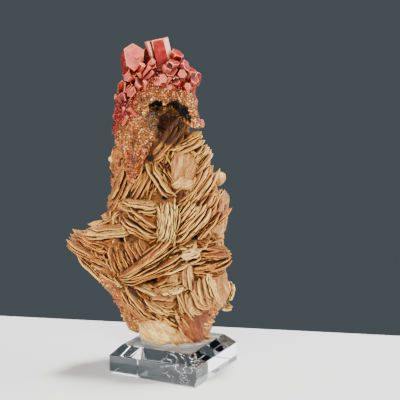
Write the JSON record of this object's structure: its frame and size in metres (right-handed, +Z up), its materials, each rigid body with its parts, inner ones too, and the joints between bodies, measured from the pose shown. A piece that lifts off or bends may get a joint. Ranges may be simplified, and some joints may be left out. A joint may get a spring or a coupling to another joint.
{
  "type": "vanadinite specimen",
  "caption": "Red hexagonal vanadinite crystals over tan bladed barite, glued upright to a small clear bevelled display block",
  "frame": {"origin": "centre of the display block's flat underside", "axes": "+Z up along the specimen's height, the display face looks along -Y, and the square block is turned 26 degrees about Z"},
  "size_m": [0.0572, 0.0424, 0.1095],
  "materials": {
    "clear_acrylic": "polished clear acrylic",
    "clear_glue": "set clear glue, slightly milky",
    "barite": "matt mineral blades, paler at the rims",
    "vanadinite": "glossy crystal faces"
  },
  "bodies": {
    "root": {"display_block": "clear_acrylic", "clear_glue": "clear_glue", "barite_matrix": "barite", "vanadinite_crystals": "vanadinite"}
  },
  "joints": []
}
